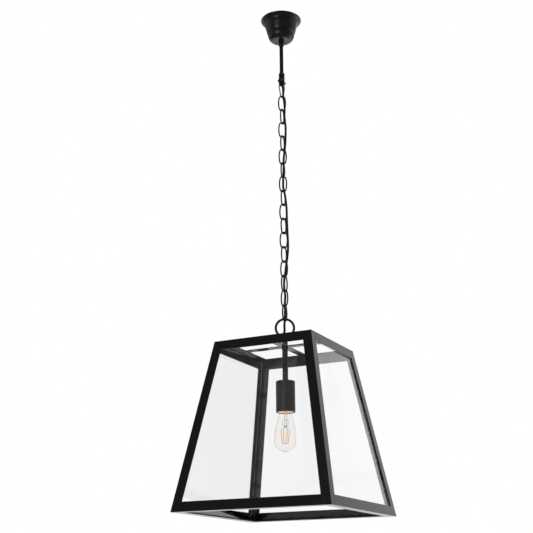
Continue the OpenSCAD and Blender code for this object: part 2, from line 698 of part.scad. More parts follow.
module side_bar() {
    color("#1a1a1a") difference() {
        translate([-top_opening, -bar_w / 2, frame_top - angle_t]) cube([2 * top_opening, bar_w, angle_t]);
        translate([-lap, -lap, frame_top - angle_t * 3 / 2]) cube([2 * lap, 2 * lap, angle_t]);
        translate([0, 0, frame_top - angle_t - 1]) cylinder(d = stud_d + 4 * fit, h = angle_t + 2, $fn = 48);
    }
}

// ---------------------------------------------------------------- nodes

ceiling_bracket();
tube_locknuts();
drop_tube();
terminal_block();
wire_cores();
rose();
rose_collar();
collar_screw();
clamp();
clamp_screw();
pivot_screws();
bail();
flex();
for (k = [1 : link_count]) chain_link(k);
ring();
eye();
for (k = [0 : 3]) post(k);
for (k = [0 : 3]) top_rail(k);
for (k = [0 : 3]) bottom_rail(k);
for (k = [0 : 3]) pane(k);
pane_clips();
front_back_bar();
side_bar();
stem_nut();
stem();
holder_cover();
holder_core();
holder_contacts();
bulb_glass();
bulb_cap();
bulb_mount();
filaments();
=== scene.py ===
import math

import bmesh
import bpy
from mathutils import Matrix, Vector


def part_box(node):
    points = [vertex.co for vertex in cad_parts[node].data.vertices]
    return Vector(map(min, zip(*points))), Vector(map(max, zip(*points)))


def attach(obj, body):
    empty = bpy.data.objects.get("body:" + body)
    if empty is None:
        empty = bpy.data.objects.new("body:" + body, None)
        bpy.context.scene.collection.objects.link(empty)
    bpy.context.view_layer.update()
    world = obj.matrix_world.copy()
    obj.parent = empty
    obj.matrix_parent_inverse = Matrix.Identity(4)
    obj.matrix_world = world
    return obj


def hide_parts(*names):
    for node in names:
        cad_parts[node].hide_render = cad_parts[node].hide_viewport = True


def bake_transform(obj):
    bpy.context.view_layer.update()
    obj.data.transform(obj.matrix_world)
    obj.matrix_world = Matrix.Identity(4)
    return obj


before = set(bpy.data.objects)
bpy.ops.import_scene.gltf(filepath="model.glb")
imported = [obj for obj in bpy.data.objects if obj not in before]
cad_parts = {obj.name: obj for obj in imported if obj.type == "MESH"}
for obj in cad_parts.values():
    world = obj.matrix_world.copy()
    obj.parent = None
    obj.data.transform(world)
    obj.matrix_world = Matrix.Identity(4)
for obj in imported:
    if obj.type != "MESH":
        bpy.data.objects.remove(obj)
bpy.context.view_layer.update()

scene = bpy.context.scene
scene.view_settings.view_transform = "Standard"


# ---------------------------------------------------------------- the studio
# The lantern hangs in a pale studio that is white behind it and to its right, and dark in front of it.
# A tall narrow soft lamp stands in front, a smaller one below it is turned on the lantern, and a broad
# one hangs overhead.

camera_place, camera_turn, camera_tilt, camera_roll = (1.18121, -2.47073, -1.62967), 26.56, 17.6, -0.43
lens = bpy.data.cameras.new("camera")
lens.lens = 70.88
lens.sensor_width = 36
camera = bpy.data.objects.new("camera", lens)
camera.matrix_world = (
    Matrix.Translation(camera_place)
    @ Matrix.Rotation(math.radians(camera_turn), 4, "Z")
    @ Matrix.Rotation(math.radians(90 + camera_tilt), 4, "X")
    @ Matrix.Rotation(math.radians(camera_roll), 4, "Z")
)
scene.collection.objects.link(camera)
scene.camera = camera


def add(tree, kind, inputs=None, **settings):
    """A node of a kind, with its settings, and its inputs given as sockets or as plain values."""
    made = tree.nodes.new(kind)
    for name, value in settings.items():
        setattr(made, name, value)
    for key, value in (inputs or {}).items():
        if isinstance(value, bpy.types.NodeSocket):
            tree.links.new(value, made.inputs[key])
        else:
            made.inputs[key].default_value = value
    return made


def calc(tree, operation, *values):
    """One step of arithmetic on sockets or plain values."""
    return add(tree, "ShaderNodeMath", dict(enumerate(values)), operation=operation).outputs[0]


def ranged(tree, value, low, high, start=0.0, stop=1.0, **settings):
    """A value that goes from start to stop, mapped to go from low to high and held at both ends."""
    ends = {"From Min": start, "From Max": stop, "To Min": low, "To Max": high}
    return add(tree, "ShaderNodeMapRange", {"Value": value, **ends}, **settings).outputs["Result"]


# how light the studio's front is to a matt surface, to a glossy one, and to a glossy one through glass
matt_front, glossy_front, glass_front = 0.4, 0.02, 0.42


def by_ray(tree):
    """For a ray: is it straight from the camera, was it mirrored, and how light is the studio's front."""
    ray = add(tree, "ShaderNodeLightPath").outputs
    straight = calc(tree, "LESS_THAN", calc(tree, "ADD", ray["Glossy Depth"], ray["Diffuse Depth"]), 0.5)
    mirrored = calc(tree, "GREATER_THAN", ray["Glossy Depth"], 0.5)
    by_glass = ranged(tree, ray["Transmission Depth"], glossy_front, glass_front)
    return straight, mirrored, ranged(tree, mirrored, matt_front, by_glass)


# the lighter parts of the studio: the way to each, the cosines where it starts and is full, its strength
glows = [
    ((-0.3, 0.95, 0), 0.35, 0.95, 0.08),
    ((-0.4, 0.88, -0.25), 0.84, 0.96, 1.0),
    ((0.35, 0.85, 0.35), 0.25, 0.98, 0.28),
    ((0.1, 0.95, 0.28), 0.93, 0.985, 1.0),
    ((-0.94, 0.13, 0.32), 0.6, 0.95, 0.25),
]
world = bpy.data.worlds.new("studio")
world.use_nodes = True
scene.world = world
tree = world.node_tree
tree.nodes.clear()
straight, mirrored, level = by_ray(tree)
direction = add(tree, "ShaderNodeTexCoord").outputs["Generated"]
for towards, first, full, strength in glows:
    turned = add(tree, "ShaderNodeVectorMath", {0: direction, 1: towards}, operation="DOT_PRODUCT")
    share = ranged(tree, turned.outputs["Value"], 0, 1, first, full, interpolation_type="SMOOTHSTEP")
    level = ranged(tree, share, level, calc(tree, "MAXIMUM", level, strength))
level = ranged(tree, straight, level, 1.0)
sky = add(tree, "ShaderNodeBackground", {"Color": (1, 1, 1, 1), "Strength": level})
add(tree, "ShaderNodeOutputWorld", {"Surface": sky.outputs[0]})


def soft_lamp(name, place, target, width, height, watts):
    """A broad lamp that faces a point and isn't seen itself."""
    data = bpy.data.lights.new(name, "AREA")
    data.shape = "RECTANGLE"
    data.size, data.size_y, data.energy = width, height, watts
    lamp = bpy.data.objects.new(name, data)
    lamp.location = place
    lamp.rotation_euler = (Vector(target) - Vector(place)).to_track_quat("-Z", "Y").to_euler()
    lamp.visible_camera = False
    scene.collection.objects.link(lamp)


soft_lamp("front_strip", (-0.35, -3.0, -0.5), (0, 0, -0.6), 0.45, 1.3, 2)
soft_lamp("middle_strip", (-0.35, -3.0, -0.7), (0, 0, -1.1), 0.3, 0.6, 5.5)
soft_lamp("overhead", (0.5, 0.9, 1.5), (0, 0, -1.2), 1.6, 1.6, 12)


def new_piece(name, bm, body, materials, smooth, replaces=()):
    """An object at the origin from a bmesh, shaded smooth up to an angle."""
    mesh = bpy.data.meshes.new(name)
    bm.to_mesh(mesh)
    bm.free()
    piece = bpy.data.objects.new(name, mesh)
    scene.collection.objects.link(piece)
    for m in materials:
        mesh.materials.append(m)
    if smooth:
        mesh.shade_smooth()
        mesh.set_sharp_from_angle(angle=math.radians(smooth))
    if body:
        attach(piece, body)
    if replaces:
        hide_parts(*replaces)
    return piece


def material(name):
    """A material with an empty tree, and its tree."""
    made = bpy.data.materials.new(name)
    made.use_nodes = True
    made.node_tree.nodes.clear()
    return made, made.node_tree


def finish(tree, shader):
    """Makes a shader the surface of its material."""
    add(tree, "ShaderNodeOutputMaterial", {"Surface": shader.outputs[0]})


def place_on(tree):
    """A piece's own coordinates, in metres."""
    return add(tree, "ShaderNodeTexCoord").outputs["Object"]


floor_height, floor_reach, white_share = -2.35, 9, 0.7
light_from, light_full = 1.4, 3.2
bm = bmesh.new()
bmesh.ops.create_grid(bm, x_segments=1, y_segments=1, size=floor_reach)
bmesh.ops.translate(bm, verts=bm.verts, vec=(0, 0, floor_height))
pale, tree = material("pale_floor")
straight, mirrored, front = by_ray(tree)
place = add(tree, "ShaderNodeSeparateXYZ", {0: place_on(tree)})
behind = ranged(tree, place.outputs["Y"], front, 1.0, start=light_from, stop=light_full)
level = ranged(tree, straight, behind, 1.0)
lit = add(tree, "ShaderNodeBsdfPrincipled", {"Base Color": (0.86, 0.86, 0.855, 1), "Roughness": 0.9})
white = add(tree, "ShaderNodeEmission", {"Color": (1, 1, 1, 1), "Strength": level})
share = calc(tree, "MULTIPLY_ADD", straight, white_share, mirrored)
finish(tree, add(tree, "ShaderNodeMixShader", {0: share, 1: lit.outputs[0], 2: white.outputs[0]}))
new_piece("floor", bm, None, [pale], 0)


# ---------------------------------------------------------------- the flex
# Round black mains flex, 6.3 mm thick, with the twist of its cores showing faintly through the sheath.
# It comes down the tube and the clamp, is woven through the chain, passes through the ring and goes
# into the eye.

flex_radius = 0.00315
ring_turn = math.radians(26)
# to the right along the ring's plane, out to the front, and height, in millimetres
flex_route = [
    (0, 0, -24), (0, 0, -75), (0, 0, -135), (0, 0, -185), (0, 0, -204), (0.9, 0.9, -211), (3, 3.6, -222),
    (3.6, 5.6, -234), (3.8, 6.4, -250), (6.3, 6.5, -269), (7.3, 6.3, -289), (6.5, 6.4, -310),
    (7.8, 6.4, -330), (9.4, 6.4, -349), (8.9, 6.5, -369), (8.2, 6.6, -390), (6.7, 6.7, -410),
    (4.2, 7.4, -430), (2.3, 8.6, -451), (2.3, 9.4, -471), (1.5, 9.8, -491), (0.4, 10.3, -512),
    (0.4, 10.7, -533), (4.4, 9.4, -553), (6.9, 8.1, -573), (8.7, 8.1, -595), (9.2, 8.1, -615),
    (9.5, 8.2, -636), (10.1, 8.3, -657), (10.7, 8.5, -677), (11.4, 8.7, -699), (10.9, 9.5, -720),
    (8.6, 10.3, -741), (5.6, 10.3, -762), (2.8, 9.7, -783), (-0.3, 9.7, -804), (-0.6, 9.8, -826),
    (2, 10, -847), (0.8, 10.6, -868), (0.8, 10.8, -889), (0, 10.9, -913), (-0.8, 7.4, -922),
    (-1.2, 0.8, -933), (-1.1, -4.1, -943), (-4.4, -6.3, -953), (-7.1, -7.1, -960), (-7.1, -5.2, -964),
    (-6.6, -1.7, -968), (-4.6, -1.2, -973), (-2.4, -0.6, -978), (-0.8, -0.2, -982), (0, 0, -986),
    (0, 0, -1010), (0, 0, -1045), (0, 0, -1084),
]


def on_flex(p):
    """A point of the route in the lantern's own frame, in metres."""
    return Vector((
        p[0] * math.cos(ring_turn) + p[1] * math.sin(ring_turn),
        p[0] * math.sin(ring_turn) - p[1] * math.cos(ring_turn),
        p[2],
    )) / 1000


def through(points, steps):
    """A smooth run through points."""
    run = []
    for i in range(len(points) - 1):
        a, b, c, d = points[max(i - 1, 0)], points[i], points[i + 1], points[min(i + 2, len(points) - 1)]
        square, cube = 2 * a - 5 * b + 4 * c - d, 3 * b - a - 3 * c + d
        for t in (s / steps for s in range(steps)):
            run.append(0.5 * (2 * b + (c - a) * t + square * t * t + cube * t ** 3))
    return run + [points[-1]]


def wire_along(name, places, radius):
    """The mesh of a round wire that follows a run of places."""
    line = bpy.data.curves.new(name, "CURVE")
    line.dimensions = "3D"
    line.bevel_depth, line.bevel_resolution, line.use_fill_caps = radius, 6, True
    spline = line.splines.new("POLY")
    spline.points.add(len(places) - 1)
    for point, place in zip(spline.points, places):
        point.co = (*place, 1)
    carrier = bpy.data.objects.new(name, line)
    mesh = bpy.data.meshes.new_from_object(carrier)
    bpy.data.objects.remove(carrier)
    return mesh


def noise(tree, place, scale, detail, coarseness=0.5):
    """A soft noise over a piece, from 0 to 1."""
    inputs = {"Vector": place, "Scale": scale, "Detail": detail, "Roughness": coarseness}
    return add(tree, "ShaderNodeTexNoise", inputs).outputs["Fac"]


def shaded(tree, mask, first, second):
    """A colour that goes from one to another by a mask."""
    colours = {"A": first, "B": second}
    return add(tree, "ShaderNodeMix", {"Factor": mask, **colours}, data_type="RGBA").outputs["Result"]


def bumped(tree, height, strength, distance):
    """A normal with a fine relief, whose full depth is a distance in metres."""
    inputs = {"Height": height, "Strength": strength, "Distance": distance}
    return add(tree, "ShaderNodeBump", inputs).outputs[0]


sheath, tree = material("black_sheath")
place = place_on(tree)
twist = add(
    tree, "ShaderNodeTexWave", {"Vector": place, "Scale": 7.0, "Distortion": 1.0}, bands_direction="DIAGONAL",
).outputs["Fac"]
marks = noise(tree, place, 60.0, 2.0)
height = calc(tree, "MULTIPLY_ADD", twist, 1.5, noise(tree, place, 900.0, 3.0))
finish(tree, add(tree, "ShaderNodeBsdfPrincipled", {
    "Base Color": shaded(tree, marks, (0.008, 0.0078, 0.008, 1), (0.017, 0.016, 0.016, 1)),
    "Roughness": ranged(tree, marks, 0.38, 0.55),
    "Normal": bumped(tree, height, 0.12, 0.0002),
}))

link_count, link_pitch, chain_top = 16, 0.0416, -0.2505
bail_pivot, eye_pivot, flex_end = -0.201, -0.95955, -1.2
links = [f"link_{k:02d}" for k in range(1, link_count + 1)]
flex_bodies = ["ceiling_mount", "bail", *links, "ring", "lantern"]
joint_heights = [bail_pivot, *(chain_top - link_pitch * k for k in range(link_count + 1)), eye_pivot]
cuts = [0.0, *((a + b) / 2 for a, b in zip(joint_heights, joint_heights[1:])), flex_end]

# the flex is cut into lengths, one round each joint, each cut off halfway to the joints above and below
flex_tube = wire_along("flex_tube", through([on_flex(p) for p in flex_route], 5), flex_radius)
for i, (upper, lower) in enumerate(zip(flex_bodies, flex_bodies[1:])):
    bm = bmesh.new()
    bm.from_mesh(flex_tube)
    for height, side in ((cuts[i], 1), (cuts[i + 1], -1)):
        whole = bm.verts[:] + bm.edges[:] + bm.faces[:]
        bmesh.ops.bisect_plane(
            bm, geom=whole, plane_co=(0, 0, height), plane_no=(0, 0, side), clear_outer=True,
        )
    part = new_piece(f"flex_{i + 1:02d}", bm, None, [sheath], 60, ["flex"])
    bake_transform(part)


# ---------------------------------------------------------------- under the rose
# A zinc plated strap bracket carries the tube between two brass locknuts, and a terminal block joins the
# cores. All of it is hidden until the rose slides down its tube.

def paint_nodes(paint, *names):
    """Gives CAD parts a material."""
    for name in names:
        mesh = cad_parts[name].data
        mesh.materials.clear()
        mesh.materials.append(paint)


def metal(name, colour, roughness, mottle=0.12):
    """A bare or plated metal with a soft mottle."""
    made, tree = material(name)
    place = place_on(tree)
    spots = noise(tree, place, 70.0, 4.0)
    darker = [c * (1 - 2.5 * mottle) for c in colour]
    finish(tree, add(tree, "ShaderNodeBsdfPrincipled", {
        "Base Color": shaded(tree, spots, (*darker, 1), (*colour, 1)),
        "Roughness": ranged(tree, spots, roughness - mottle / 2, roughness + mottle / 2, 0.3, 0.7),
        "Normal": bumped(tree, noise(tree, place, 1500.0, 2.0), 0.08, 0.0002),
        "Metallic": 1.0,
    }))
    return made


zinc = metal("zinc_plate", (0.62, 0.63, 0.64), 0.34)
brass = metal("turned_brass", (0.72, 0.52, 0.24), 0.26, mottle=0.08)
paint_nodes(zinc, "ceiling_bracket")
paint_nodes(brass, "tube_locknuts")

block, tree = material("terminal_block")
flow = noise(tree, place_on(tree), 120.0, 3.0)
finish(tree, add(tree, "ShaderNodeBsdfPrincipled", {
    "Base Color": shaded(tree, flow, (0.72, 0.69, 0.6, 1), (0.8, 0.77, 0.69, 1)),
    "Roughness": 0.42,
    "Normal": bumped(tree, flow, 0.1, 0.0003),
}))
paint_nodes(block, "terminal_block")

core_edge = 0.0011
green, yellow = (0.05, 0.3, 0.06, 1), (0.75, 0.6, 0.05, 1)
brown, blue = (0.16, 0.07, 0.03, 1), (0.04, 0.12, 0.45, 1)
cores, tree = material("core_insulation")
place = place_on(tree)
across = add(tree, "ShaderNodeSeparateXYZ", {0: place}).outputs["X"]
stripe = add(tree, "ShaderNodeTexWave", {"Vector": place, "Scale": 60.0}, bands_direction="DIAGONAL")
shade = shaded(tree, calc(tree, "GREATER_THAN", stripe.outputs["Fac"], 0.6), green, yellow)
shade = shaded(tree, calc(tree, "LESS_THAN", across, -core_edge), shade, brown)
shade = shaded(tree, calc(tree, "GREATER_THAN", across, core_edge), shade, blue)
finish(tree, add(tree, "ShaderNodeBsdfPrincipled", {"Base Color": shade, "Roughness": 0.38}))
paint_nodes(cores, "wire_cores")


# ---------------------------------------------------------------- the ceiling rose
# Spun from 1.2 mm steel: a brim that meets the ceiling, a hollow flare, a tapering wall with one rolled
# groove and a rounded flat bottom. It is coated smooth black, and a bullet-shaped collar under it grips
# the tube.

def group(name, inputs, outputs):
    """A shader group with float, colour and vector sockets, and its two end nodes."""
    made = bpy.data.node_groups.new(name, "ShaderNodeTree")
    kinds = {"f": "NodeSocketFloat", "c": "NodeSocketColor", "v": "NodeSocketVector"}
    for label, kind in inputs:
        made.interface.new_socket(label, in_out="INPUT", socket_type=kinds[kind])
    for label, kind in outputs:
        made.interface.new_socket(label, in_out="OUTPUT", socket_type=kinds[kind])
    return made, made.nodes.new("NodeGroupInput").outputs, made.nodes.new("NodeGroupOutput")


coat, given, end = group(
    "satin coat", [("Vector", "v"), ("Color", "c"), ("Roughness", "f"), ("Dust", "f"), ("Grain", "f")],
    [("Color", "c"), ("Roughness", "f"), ("Height", "f")],
)
dust_colour = (0.22, 0.21, 0.2, 1)
cloud = noise(coat, given["Vector"], 24.0, 4.0)
facing = add(coat, "ShaderNodeSeparateXYZ", {0: add(coat, "ShaderNodeNewGeometry").outputs["Normal"]})
upward = ranged(coat, facing.outputs["Z"], 0, 1, start=0.5)
settled = calc(coat, "MULTIPLY", calc(coat, "MULTIPLY", upward, given["Dust"]), cloud)
for label, socket in (
    ("Color", shaded(coat, settled, given["Color"], dust_colour)),
    ("Roughness", calc(coat, "MULTIPLY_ADD", calc(coat, "SUBTRACT", cloud, 0.5), 0.16, given["Roughness"])),
    ("Height", noise(coat, given["Vector"], given["Grain"], 3.0, 0.6)),
):
    coat.links.new(socket, end.inputs[label])


def coated(name, colour, roughness, grain=1100.0, relief=0.12, shine=0.5, worn=False):
    """A coated steel finish, rubbed through to the steel where the piece's own wear attribute says so."""
    made, tree = material(name)
    place = place_on(tree)
    skin = add(tree, "ShaderNodeGroup", {
        "Vector": place, "Color": (*colour, 1), "Roughness": roughness, "Dust": 0.25, "Grain": grain,
    }, node_tree=coat)
    paint = add(tree, "ShaderNodeBsdfPrincipled", {
        "Base Color": skin.outputs["Color"],
        "Roughness": skin.outputs["Roughness"],
        "Normal": bumped(tree, skin.outputs["Height"], relief, 0.0003),
        "Specular IOR Level": shine,
    })
    if worn:
        rubbed = add(tree, "ShaderNodeAttribute", attribute_name="wear").outputs["Fac"]
        bare = ranged(tree, calc(tree, "MULTIPLY", rubbed, noise(tree, place, 420.0, 3.0)), 0, 1, 0.3, 0.5)
        shade = shaded(tree, bare, skin.outputs["Color"], (0.2, 0.18, 0.16, 1))
        tree.links.new(shade, paint.inputs["Base Color"])
        tree.links.new(bare, paint.inputs["Metallic"])
    finish(tree, paint)
    return made


def closed(bm):
    """Joins the points that meet, and turns every face outwards."""
    bmesh.ops.remove_doubles(bm, verts=bm.verts, dist=1e-6)
    bmesh.ops.recalc_face_normals(bm, faces=bm.faces)
    return bm


def spun(profile, steps):
    """A bmesh turned about the lantern's axis from points of radius and height."""
    bm = bmesh.new()
    points = [bm.verts.new((r, 0, z)) for r, z in profile]
    lines = [bm.edges.new(pair) for pair in zip(points, points[1:])]
    bmesh.ops.spin(
        bm, geom=points + lines, cent=(0, 0, 0), axis=(0, 0, 1), angle=2 * math.pi, steps=steps,
        use_merge=True,
    )
    return closed(bm)


def bow(centre, radii, start, stop, steps):
    """Points along part of an ellipse, by radius and height."""
    turns = [math.radians(start + (stop - start) * i / steps) for i in range(steps + 1)]
    return [(centre[0] + radii[0] * math.cos(a), centre[1] + radii[1] * math.sin(a)) for a in turns]


def walled(piece, thickness):
    """Gives a shell a wall that grows inwards."""
    wall = piece.modifiers.new("wall", "SOLIDIFY")
    wall.thickness, wall.offset = thickness, -1
    return piece


rose_paint = coated("rose_gloss_black", (0.0055, 0.005, 0.0055), 0.36, grain=700.0, relief=0.015, shine=0.9)
fitting_paint = coated("fitting_satin_black", (0.0085, 0.008, 0.0085), 0.36)
rose_wall, brim_radius, brim_edge, brim_roll = 0.0012, 0.059, 0.0025, 0.0006
flare_in, flare_down, wall_lean = 0.012, 0.0155, 0.010 / 0.039
flare_foot = (brim_radius - flare_in, -brim_edge - flare_down)
groove, groove_half, groove_depth = -0.0436, 0.0014, 0.0003
band_radius, band_top = 0.0388, groove - 0.0018
rose_foot, foot_flat, tube_hole = -0.067, 0.024, 0.0061


def wall_at(z):
    """The radius of the rose's tapering wall at a height."""
    return flare_foot[0] - (flare_foot[1] - z) * wall_lean


profile = bow((brim_radius - brim_roll, -brim_roll), (brim_roll, brim_roll), 80, 0, 4)
profile += bow((brim_radius, flare_foot[1]), (flare_in, flare_down), 95, 180, 22)
profile += [(wall_at(z), z) for z in (-0.024, -0.030, -0.036, groove + groove_half)]
profile += [(wall_at(groove) - groove_depth, groove + 0.0004), (band_radius, groove - 0.0006)]
profile += bow((foot_flat, band_top), (band_radius - foot_flat, band_top - rose_foot), 0, -90, 20)
profile += [(0.016, rose_foot), (tube_hole + 0.0006, rose_foot), (tube_hole, rose_foot + 0.0004)]
rose = new_piece("rose_spinning", spun(profile, 128), "rose", [rose_paint], 50, ["rose"])
walled(rose, rose_wall)
paint_nodes(fitting_paint, "rose_collar", "collar_screw", "drop_tube")


# ---------------------------------------------------------------- the clamp and its bail
# A turned steel clamp is screwed on the tube's foot and grips the flex with one bright grub screw.
# The bail is bent from 3 mm wire with flattened eyes and turns on two shoulder screws.

paint_nodes(fitting_paint, "clamp", "pivot_screws", "bail")
paint_nodes(zinc, "clamp_screw")


# ---------------------------------------------------------------- the chain
# Sixteen oval links of 4 mm steel wire, each butt welded on one side, then painted black.
# The paint is rubbed through where one link sits in the next.

chain_paint = coated("chain_satin_black", (0.0095, 0.0085, 0.0085), 0.34, worn=True)
link_wire, link_width, play = 0.004, 0.024, 0.0003
link_turns = [26, 88, 26, 86, 26, 86, 21, 82, 16, 74, 16, 74, 1, 66, -4, 81]
end_radius = 0.0082
half_length = (link_pitch + link_wire + play) / 2
half_width = (link_width - link_wire) / 2
rise, belly = half_length - end_radius, half_width - end_radius
side_radius = end_radius + (belly ** 2 + rise ** 2) / (2 * belly)
side_turn = math.atan2(rise, side_radius - half_width)
weld_half, weld_swell, wear_depth, wear_reach = 0.0004, 0.09, 0.0016, 0.005


def wire_end(centre, radius, turn, wire, sides=20):
    """A bmesh and its circle of wire, at an angle round a centre in the XZ plane, ready to be bent on."""
    bm = bmesh.new()
    out = Vector((math.cos(turn), 0, math.sin(turn)))
    along = Vector((-math.sin(turn), 0, math.cos(turn)))
    stand = Matrix((out, Vector((0, 1, 0)), along)).transposed().to_4x4()
    stand.translation = Vector(centre) + out * radius
    made = bmesh.ops.create_circle(bm, segments=sides, radius=wire / 2, matrix=stand)["verts"]
    return bm, made + list({e for v in made for e in v.link_edges})


def bend(bm, end, centre, angle, steps):
    """Carries a wire's end round a centre, and returns the new end."""
    made = bmesh.ops.spin(bm, geom=end, cent=centre, axis=(0, -1, 0), angle=angle, steps=steps)
    return made["geom_last"]


def hung(bm, height, turn):
    """Turns a part about the lantern's axis and lifts it to its height."""
    move = Matrix.Translation((0, 0, height)) @ Matrix.Rotation(turn, 4, "Z")
    bmesh.ops.transform(bm, verts=bm.verts, matrix=move)
    return bm


for k, (link, turn) in enumerate(zip(links, link_turns), 1):
    bm, end = wire_end((0, 0, rise), end_radius, side_turn, link_wire)
    end = bend(bm, end, (0, 0, rise), math.pi - 2 * side_turn, 18)
    end = bend(bm, end, (side_radius - half_width, 0, 0), 2 * side_turn, 24)
    end = bend(bm, end, (0, 0, -rise), math.pi - 2 * side_turn, 18)
    bend(bm, end, (half_width - side_radius, 0, 0), 2 * side_turn, 24)
    closed(bm)
    wear = bm.verts.layers.float.new("wear")
    for v in bm.verts:
        if v.co.x > 0 and abs(v.co.z) < weld_half:
            v.co.x += weld_swell * (v.co.x - half_width)
            v.co.y *= 1 + weld_swell
        off_seat = abs(abs(v.co.z) - (half_length - link_wire / 2))
        v[wear] = max(0.0, 1 - off_seat / wear_depth) * max(0.0, 1 - abs(v.co.x) / wear_reach)
    hung(bm, chain_top - link_pitch * k + half_length, math.radians(turn))
    new_piece(f"chain_{link}", bm, link, [chain_paint], 60, [link])


# ---------------------------------------------------------------- the ring and the eye
# A welded ring of 6.5 mm wire joins the chain to the lantern's eye. The eye's hollow stud goes down
# through the crossing of the bars, and its neck is open on one side for the flex.

low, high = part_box("ring")
ring_wire, ring_weld_half, ring_weld_swell, ring_wear_reach = 0.0065, 0.0005, 0.06, 0.006
ring_radius = (high[2] - low[2] - ring_wire) / 2
bm, end = wire_end((0, 0, 0), ring_radius, 0, ring_wire, 24)
bend(bm, end, (0, 0, 0), 2 * math.pi, 120)
closed(bm)
wear = bm.verts.layers.float.new("wear")
for v in bm.verts:
    off_seat = math.hypot(v.co.x, v.co.z) - (ring_radius - ring_wire / 2)
    if v.co.x < 0 and abs(v.co.z) < ring_weld_half:
        v.co.x += ring_weld_swell * (v.co.x + ring_radius)
        v.co.y *= 1 + ring_weld_swell
    v[wear] = max(0.0, 1 - off_seat / wear_depth) * max(0.0, 1 - abs(v.co.x) / ring_wear_reach)
hung(bm, (high[2] + low[2]) / 2, ring_turn)
new_piece("lantern_ring", bm, "ring", [chain_paint], 60, ["ring"])
paint_nodes(fitting_paint, "eye")


# ---------------------------------------------------------------- the frame
# Steel angle of 25 by 3 mm, mitred and welded at the corners, with two flat bars halved across the top.
# Everything is coated satin black after welding, so that the edges are a little rounded.

frame_paint = coated("frame_satin_black", (0.0108, 0.0094, 0.0101), 0.18, relief=0.03)
sides = ["back", "left", "front", "right"]
corners = ["back_right", "back_left", "front_left", "front_right"]
steel = [f"post_{c}" for c in corners] + [f"{r}_rail_{s}" for r in ("top", "bottom") for s in sides]
steel += ["front_back_bar", "side_bar", "pane_clips"]
steel_edge, clip_edge = 0.0006, 0.0003
paint_nodes(frame_paint, *steel)


def ease(name, width):
    """Merges a CAD part's loose triangles and rounds its edges."""
    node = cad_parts[name]
    weld = node.modifiers.new("merge", "WELD")
    weld.merge_threshold = 0.00001
    edge = node.modifiers.new("eased edges", "BEVEL")
    edge.width, edge.segments = width, 2
    edge.limit_method, edge.angle_limit = "ANGLE", math.radians(40)


for name in steel:
    ease(name, clip_edge if name == "pane_clips" else steel_edge)


# ---------------------------------------------------------------- the panes
# Clear float glass, 3 mm thick, with ground edges. Each pane lies behind the steel and is held by
# corner clips.

clear, tree = material("float_glass")
finish(tree, add(tree, "ShaderNodeBsdfPrincipled", {
    "Base Color": (0.995, 0.998, 0.997, 1), "Roughness": 0.0, "IOR": 1.45, "Transmission Weight": 1.0,
}))
paint_nodes(clear, *[f"pane_{s}" for s in sides])


# ---------------------------------------------------------------- the lampholder
# A stem on the eye's stud, locked by a nut under the bars, carries a drawn steel cover with a rounded
# shoulder, a screwed mouth ring with a turned-in lip, and a pale inner wall with a painted glow, as though
# lit by the bulb. Inside are the porcelain body and the brass thread shell.

paint_nodes(fitting_paint, "stem_nut", "stem")
paint_nodes(brass, "holder_contacts")
holder_paint = coated("holder_satin_black", (0.0125, 0.012, 0.0125), 0.38, relief=0.02)

# painted glow: the inner wall gives off light of its own, as though the lit bulb warmed it, brightest and
# palest near the mouth
mouth_level, deep_level = -1.163, -1.157
glow_painted_wall, tree = material("painted_glow_inner_wall")
place = place_on(tree)
up = add(tree, "ShaderNodeSeparateXYZ", {0: place}).outputs["Z"]
depth = ranged(tree, up, 0, 1, mouth_level, deep_level)
finish(tree, add(tree, "ShaderNodeBsdfPrincipled", {
    "Base Color": (0.82, 0.7, 0.58, 1),
    "Metallic": 0.6,
    "Roughness": ranged(tree, noise(tree, place, 300.0, 2.0), 0.3, 0.45),
    "Emission Color": shaded(tree, depth, (0.95, 0.85, 0.75, 1), (0.5, 0.3, 0.17, 1)),
    "Emission Strength": 0.8,
}))

low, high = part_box("holder_cover")
mouth, crown, cover_radius = low[2], high[2], high[0]
shoulder, cover_wall, stem_hole, lip_radius = 0.0025, 0.0012, 0.0052, 0.0192
seam, seam_depth = mouth + 0.0048, 0.0005
profile = [
    (lip_radius, mouth + 0.0004), (lip_radius + 0.0008, mouth), (cover_radius - 0.0004, mouth),
    (cover_radius, mouth + 0.0005), (cover_radius, seam - seam_depth), (cover_radius - seam_depth, seam),
    (cover_radius, seam + seam_depth),
]
profile += bow((cover_radius - shoulder, crown - shoulder), (shoulder, shoulder), 0, 90, 8)
profile += [(stem_hole + 0.004, crown), (stem_hole, crown)]
# the cover's inside takes the wall with the painted glow
paints = [holder_paint, glow_painted_wall]
cover = new_piece(
    "lampholder_cover", spun(profile, 96), "lantern", paints, 40, ["holder_cover"],
)
walled(cover, cover_wall).modifiers[-1].material_offset = 1

glaze, tree = material("glazed_porcelain")
cloud = noise(tree, place_on(tree), 50.0, 3.0)
finish(tree, add(tree, "ShaderNodeBsdfPrincipled", {
    "Base Color": shaded(tree, cloud, (0.74, 0.71, 0.63, 1), (0.84, 0.82, 0.76, 1)),
    "Roughness": 0.18,
    "Coat Weight": 0.5,
}))
paint_nodes(glaze, "holder_core")


# ---------------------------------------------------------------- the bulb
# A clear squirrel-cage bulb 57 mm across: a blown envelope with the pip left by its tube, a rolled screw
# cap, a pressed glass stem with a small disc on it, and four coated filament rods on thin wires. It sits
# a little crooked in the lampholder.

low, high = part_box("bulb_glass")
tip, envelope_radius = low[2], high[0]
cap_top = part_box("bulb_cap")[1][2]
cap_radius, cap_length = 0.0132, 0.027
cap_foot = cap_top - cap_length
neck_radius, neck_tuck, glass_wall = 0.0123, 0.0028, 0.0003
widest, pip_height, pip_radius, pip_round = tip + 0.029, 0.0045, 0.0045, 0.0031
bulb_lean, lean_axis = math.radians(1.7), (-0.447, 0.894, 0)

